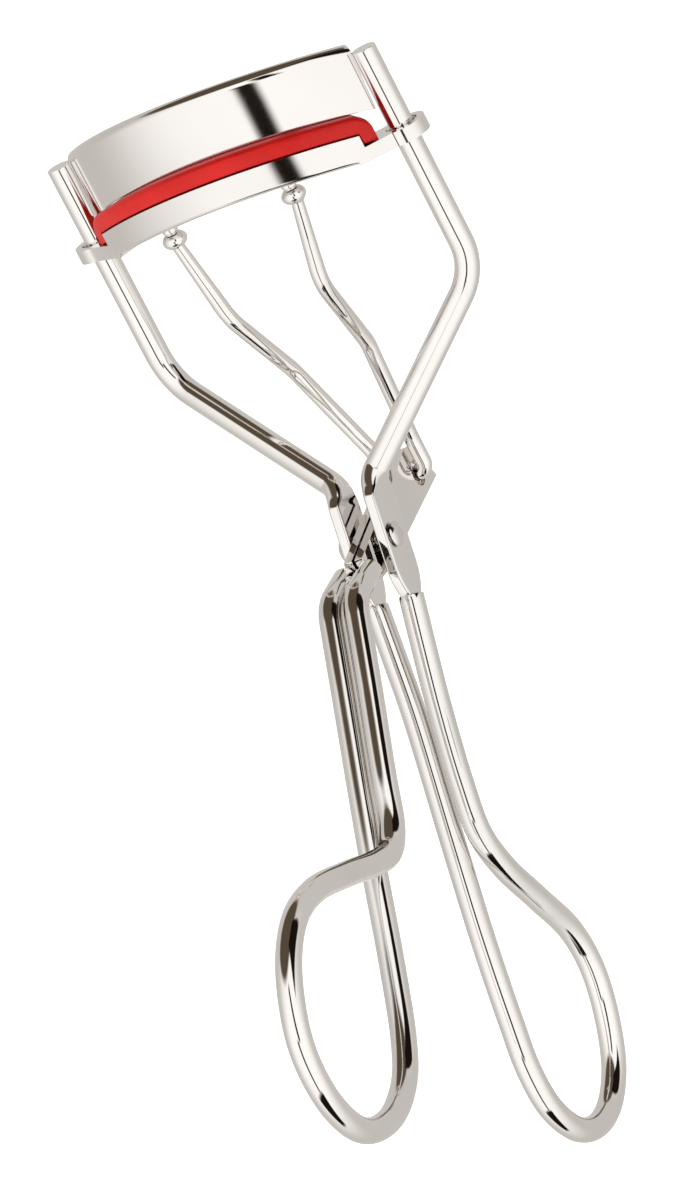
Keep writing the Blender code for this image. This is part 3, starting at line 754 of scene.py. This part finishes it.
# %% [markdown]
# ## The arms
# An arm is the same wire, but its lower end is hammered flat and drilled for the rivet.
# Its section changes on the way from a circle to a rounded rectangle, which a plain sweep
# can't do, so its rings are worked out one by one. The flattening starts in the bend.

# %% Hammer the arms
def arm(side, name, node):
    foot = Vector((SIDE_X, *SIDE_FOOT))
    corners = [
        Vector((POST_X, POST_Y, 43.0)),
        Vector((POST_X, POST_Y, 18.9)),
        Vector((SIDE_X, *SIDE_TOP)),
        foot,
    ]
    steps = 2 * BEND_STEPS
    path = rounded_path(corners, [6.0, 2.5], steps)[:-1]
    bend_end = path[-1]
    flatness = [0] * (len(path) - steps)
    flatness += [0.6 * (i + 1) / steps for i in range(steps)]
    for share, flat in ((0.025, 0.75), (0.05, 0.88), (0.07, 0.96), (0.09, 1), (0.5, 1), (0.74, 1)):
        path.append(bend_end.lerp(foot, share))
        flatness.append(flat)
    flat_section = Vector((SIDE_THICKNESS / 2, SIDE_WIDTH / 2, 0.25 * SIDE_THICKNESS))
    round_section = Vector((WIRE_R, WIRE_R, WIRE_R))
    sections = [round_section.lerp(flat_section, flat) for flat in flatness]
    for share, width in ((0.82, 0.97), (0.89, 0.89), (0.95, 0.77), (1.0, 0.64), (1.035, 0.55)):
        path.append(bend_end.lerp(foot, share))
        sections.append(Vector((SIDE_THICKNESS / 2, width * SIDE_WIDTH / 2, 0.25 * SIDE_THICKNESS)))
    path = [Vector((side * point.x, point.y, point.z)) for point in path]
    obj = mesh_object(name, scaled(lofted(path, sections)))
    bore = RIVET_R + RUNNING_GAP
    combined(obj, scaled(turned([(bore, -9), (bore, 9)], 40, SIDEWAYS)), "DIFFERENCE")
    softened(obj, 0.1 * MM)
    finished(obj, WIRE_NICKEL, "frame", "polished_nickel", node, flat_faced=True)


arm(-1, "arm_wire_left", "arm_left")
arm(1, "arm_wire_right", "arm_right")

# %% [markdown]
# ## The rivet
# A rivet is turned, so its outline is enough. Each head is a low dome that the hammer
# left with a small flat in the middle.

# %% Turn the rivet
head_r, dome = 1.3, 0.6
seat = SIDE_X + SIDE_THICKNESS / 2 + RUNNING_GAP
half = [(RIVET_R, seat), (head_r - 0.08, seat), (head_r, seat + 0.08)]
for step in range(1, 9):
    angle = radians(9 * step)
    half.append((head_r * cos(angle), seat + dome * sin(angle)))
half.append((0.32 * head_r, seat + 0.93 * dome))
profile = [(r, -z) for r, z in reversed(half)] + half
rivet = mesh_object("rivet", scaled(turned(profile, 48, SIDEWAYS)))
finished(rivet, WORKED_NICKEL, "frame", "polished_nickel", "pivot_rivet")

# %% [markdown]
# ## The lever's ears
# Two flat stampings sit between the arms. A press leaves their edges square, and
# tumbling rounds them very little.

# %% Stamp the ears
HOOK_AT = (13.4, 0.9)
EAR_OUTLINE = (
    (-5.2, -2.6), (-1.5, -2.75), (6.0, -2.1),
    (HOOK_AT[0] + 3.45, HOOK_AT[1] - 1.9), (HOOK_AT[0] + 1.7, HOOK_AT[1] + 1.9),
    (HOOK_AT[0] + 0.6, HOOK_AT[1] + 2.7), (HOOK_AT[0] - 0.5, HOOK_AT[1] + 2.9),
    (7.4, 2.6), (-0.3, 1.35), (-5.2, 0.5),
)


def ear(side, name, node):
    low_x, high_x = sorted((side * EAR_INNER_X, side * EAR_OUTER_X))
    rings = [[Vector((x, y, z)) for y, z in EAR_OUTLINE] for x in (low_x, high_x)]
    obj = mesh_object(name, scaled(skin(rings)))
    bore = RIVET_R + RUNNING_GAP
    combined(obj, scaled(turned([(bore, -9), (bore, 9)], 40, SIDEWAYS)), "DIFFERENCE")
    hook_hole = Matrix.Translation((0, *HOOK_AT)) @ SIDEWAYS
    combined(obj, scaled(turned([(1.3, -9), (1.3, 9)], 36, hook_hole)), "DIFFERENCE")
    softened(obj, 0.07 * MM)
    finished(obj, SHEET_NICKEL, "lever", "polished_nickel", node, flat_faced=True)


ear(-1, "ear_left", "lever_ear_left")
ear(1, "ear_right", "lever_ear_right")

# %% [markdown]
# ## The upper jaw
# A strip of sheet is curved to the eye and its top edge is rolled back, which stiffens
# it and leaves no edge to touch the skin. The section is drawn once, with the roll as an
# arc, and swept round the eye's curve. The strip stands a little higher in the middle.

# %% Roll the upper jaw
PLATE_THICKNESS = 0.8
PLATE_HEIGHT = 6.85
PLATE_TOP = 44.0
PLATE_FOOT = PLATE_TOP - PLATE_HEIGHT
JAW_RISE = 0.45
PLATE_TOP_RISE = 0.37
JAW_STEPS = 72


def jaw_point(radius, z, angle, rise=JAW_RISE):
    """A point of the jaws at this radius and angle, z being its height at the ends."""
    bulge = JAW_RADIUS * (cos(angle) - cos(JAW_END_ANGLE))
    return Vector((radius * sin(angle), JAW_CENTRE_Y - radius * cos(angle), z + rise * bulge))


def shares(steps):
    """Even steps from -1 at the left end of the jaws to +1 at the right end."""
    return [2 * i / steps - 1 for i in range(steps + 1)]


roll = 0.95
rim = JAW_RADIUS - 2.0
profile = [(JAW_RADIUS, PLATE_FOOT), (JAW_RADIUS, PLATE_TOP - 3)]
for step in range(7):
    angle = radians(15 * step)
    profile.append((JAW_RADIUS - roll + roll * cos(angle), PLATE_TOP - roll + roll * sin(angle)))
profile += [(rim, PLATE_TOP - 0.3), (rim, PLATE_TOP - 0.3 - PLATE_THICKNESS)]
profile += [(JAW_RADIUS - PLATE_THICKNESS - 0.2, PLATE_TOP - PLATE_THICKNESS)]
profile += [(JAW_RADIUS - PLATE_THICKNESS, PLATE_TOP - PLATE_THICKNESS - 0.3)]
profile += [(JAW_RADIUS - PLATE_THICKNESS, PLATE_FOOT)]
rings = []
for share in shares(JAW_STEPS):
    ring = []
    for radius, z in profile:
        below_top = min(1, (PLATE_TOP - z) / PLATE_HEIGHT)
        rise = PLATE_TOP_RISE + (JAW_RISE - PLATE_TOP_RISE) * below_top
        end_angle = asin((JAW_REACH + 0.42 - 0.3 * below_top) / JAW_RADIUS)
        ring.append(jaw_point(radius, z, share * end_angle, rise))
    rings.append(ring)
plate = mesh_object("upper_jaw_sheet", scaled(skin(rings)))
softened(plate, 0.08 * MM, angle=50)
finished(plate, SHEET_NICKEL, "frame", "polished_nickel", "upper_jaw_plate", flat_faced=True)

# %% [markdown]
# ## The lower jaw
# The lower jaw is a narrow trough of the same sheet, with a flat eyelet at each end that
# slides on a post. The trough is swept, and each eyelet is a tab with a round end that is
# joined on and drilled.

# %% Form the lower jaw
JAW_MID = JAW_RADIUS - PLATE_THICKNESS / 2
CHANNEL_WIDTH = 4.0
CHANNEL_WALL = 0.6
CHANNEL_HEIGHT = 2.8
PAD_HEIGHT = 1.85
PAD_TOP = PLATE_FOOT - 0.05
CHANNEL_TOP = PAD_TOP - PAD_HEIGHT - 0.1
CHANNEL_FOOT = CHANNEL_TOP - CHANNEL_HEIGHT
CHANNEL_END = asin((JAW_REACH - 1.2) / (JAW_MID + CHANNEL_WIDTH / 2))
HOLE_R = WIRE_R + 0.4
EYELET_THICKNESS = 1.45

outer = JAW_MID + CHANNEL_WIDTH / 2
inner = JAW_MID - CHANNEL_WIDTH / 2
trough_floor = CHANNEL_FOOT + CHANNEL_WALL
fold = 0.5
profile = []
for step in range(5):
    angle = radians(22.5 * step)
    profile.append((inner + fold - fold * sin(angle), CHANNEL_FOOT + fold - fold * cos(angle)))
profile += [(inner, CHANNEL_TOP), (inner + CHANNEL_WALL, CHANNEL_TOP)]
profile += [(inner + CHANNEL_WALL, trough_floor), (outer - CHANNEL_WALL, trough_floor)]
profile += [(outer - CHANNEL_WALL, CHANNEL_TOP), (outer, CHANNEL_TOP)]
for step in range(5):
    angle = radians(22.5 * step)
    profile.append((outer - fold + fold * cos(angle), CHANNEL_FOOT + fold - fold * sin(angle)))
rings = [[jaw_point(r, z, share * CHANNEL_END) for r, z in profile] for share in shares(JAW_STEPS)]
jaw = mesh_object("lower_jaw_trough", scaled(skin(rings)))
jaw_end = jaw_point(JAW_MID, CHANNEL_FOOT, CHANNEL_END) + Vector((0, 0, 0.12))


def eyelet(side):
    """A flat tab from inside the trough's end to a round end about the post."""
    radius = HOLE_R + 0.75
    post = Vector((POST_X, POST_Y))
    root = Vector((jaw_end.x - 0.7, jaw_end.y - 0.5))
    line = (post - root).normalized()
    normal = Vector((-line.y, line.x))
    neck = 0.81 * radius
    start = asin(neck / radius)
    outline = [root + normal * neck, root - normal * neck]
    for step in range(25):
        angle = -(pi - start) + (2 * pi - 2 * start) * step / 24
        outline.append(post + line * radius * cos(angle) + normal * radius * sin(angle))
    heights = (jaw_end.z, jaw_end.z + EYELET_THICKNESS)
    return skin([[Vector((side * p.x, p.y, z)) for p in outline] for z in heights])


STUD_RADIUS = JAW_MID + 0.15
STUD_ANGLE = asin(6.8 / STUD_RADIUS)
STUD = jaw_point(STUD_RADIUS, CHANNEL_FOOT + CHANNEL_WALL / 2, STUD_ANGLE)
for side in (-1, 1):
    combined(jaw, scaled(eyelet(side)), "UNION")
    post = Matrix.Translation((side * POST_X, POST_Y, jaw_end.z))
    combined(jaw, scaled(turned([(HOLE_R, -8), (HOLE_R, 8)], 40, post)), "DIFFERENCE")
    stud_place = Matrix.Translation((side * STUD.x, STUD.y, STUD.z))
    combined(jaw, scaled(turned([(1.0, -0.9), (1.0, 0.9)], 28, stud_place)), "DIFFERENCE")
softened(jaw, 0.06 * MM, angle=50)
finished(jaw, SHEET_NICKEL, "lower_jaw", "polished_nickel", "lower_jaw", flat_faced=True)

# %% [markdown]
# ## The pad
# The silicone strip stands proud of the trough, its head rounded on both long edges, and
# at each end it curls down over the trough's end. Its rings follow the same curve as the
# jaw, and a bevel of three segments softens its edges.

# %% Mould the pad
PAD_HALF = 1.95
PAD_FOOT = CHANNEL_WIDTH / 2 - CHANNEL_WALL - SEAT_GAP
PAD_END = asin(JAW_REACH / (JAW_MID + PAD_HALF))
SOFT = 0.35 * PAD_HEIGHT
FALL = jaw_point(0, 0, CHANNEL_END).z - jaw_point(0, 0, PAD_END).z
CURL = CHANNEL_HEIGHT - EYELET_THICKNESS - FALL + 0.1
channel_share = (CHANNEL_END + 0.1 / JAW_RADIUS) / PAD_END


def pad_ring(share, drop, shrink):
    """One section of the pad; drop lowers its underside and shrink its top."""
    under = PAD_TOP - PAD_HEIGHT - drop
    top = PAD_TOP - shrink
    side = [(PAD_FOOT, min(under, PAD_TOP - PAD_HEIGHT - 0.9) - 0.01), (PAD_FOOT, under)]
    side += [(PAD_HALF - 0.3, under), (PAD_HALF - 0.09, under + 0.09), (PAD_HALF, under + 0.3)]
    for step in range(6):
        angle = radians(18 * step)
        side.append((PAD_HALF - SOFT + SOFT * cos(angle), top - SOFT + SOFT * sin(angle)))
    outline = side + [(-r, z) for r, z in reversed(side)]
    return [jaw_point(JAW_MID + r, z, share * PAD_END) for r, z in outline]


lip = [(channel_share, 0, 0), (channel_share + 0.004, CURL, 0)]
for step in range(1, 8):
    angle = radians(11.5 * step)
    share = channel_share + (1 - channel_share) * sin(angle) / sin(radians(80.5))
    lip.append((share, CURL, 1.1 * (1 - cos(angle))))
rings = [pad_ring(-share, drop, shrink) for share, drop, shrink in reversed(lip)]
rings += [pad_ring(share * channel_share, 0, 0) for share in shares(JAW_STEPS)[1:-1]]
rings += [pad_ring(*step) for step in lip]
pad = mesh_object("silicone_pad", scaled(skin(rings)))
softened(pad, 0.12 * MM, 3, angle=50)
finished(pad, SILICONE, "lower_jaw", "red_silicone", "lash_pad")

# %% [markdown]
# ## The push rods
# Each rod is a thinner wire with a bead forged under the trough. Above the bead its end
# passes through the trough's floor and is hammered over, and at the bottom it hooks
# through the lever's ear. The bead and the hammered head are only a change of radius
# along the path, so the whole rod is one loft.

# %% Bend the rods
BEAD_R = 1.28
BEAD_HEIGHT = 1.8
BEAD_GAP = 0.45


def push_rod(side, name, body, node):
    hook = Vector((EAR_OUTER_X + SEAT_GAP + ROD_R, *HOOK_AT))
    corners = [
        STUD - Vector((0, 0, CHANNEL_WALL / 2 + 0.6 * BEAD_HEIGHT)),
        Vector((5.3, 5.4, 24.4)),
        Vector((4.3, 10.3, 16.0)),
        hook + Vector((0, 0, 3.4)),
        hook,
        Vector((EAR_INNER_X + SEAT_GAP / 2, *HOOK_AT)),
    ]
    path = rounded_path(corners, [5.0, 5.0, 5.0, 1.0], 10)
    head_z = STUD.z + CHANNEL_WALL / 2 + SEAT_GAP
    bead_top = STUD.z - CHANNEL_WALL / 2 - BEAD_GAP
    shape = [(head_z + 0.4, 0.6), (head_z + 0.33, 0.85), (head_z + 0.2, 1.0), (head_z, 1.0)]
    shape += [(head_z, ROD_R), (bead_top + 0.02, ROD_R)]
    for step in range(9):
        angle = radians(60 - 15 * step)
        shape.append((bead_top - BEAD_HEIGHT / 2 * (1 - sin(angle)), BEAD_R * cos(angle)))
    top = [Vector((STUD.x, STUD.y, z)) for z, _radius in shape]
    radii = [radius for _z, radius in shape] + [ROD_R] * (len(path) - 1)
    path = [Vector((side * point.x, point.y, point.z)) for point in top + path[1:]]
    obj = mesh_object(name, scaled(lofted(path, [(r, r, r) for r in radii])))
    softened(obj, 0.05 * MM, angle=60)
    finished(obj, WIRE_NICKEL, body, "polished_nickel", node)


push_rod(-1, "rod_left_wire", "rod_left", "push_rod_left")
push_rod(1, "rod_right_wire", "rod_right", "push_rod_right")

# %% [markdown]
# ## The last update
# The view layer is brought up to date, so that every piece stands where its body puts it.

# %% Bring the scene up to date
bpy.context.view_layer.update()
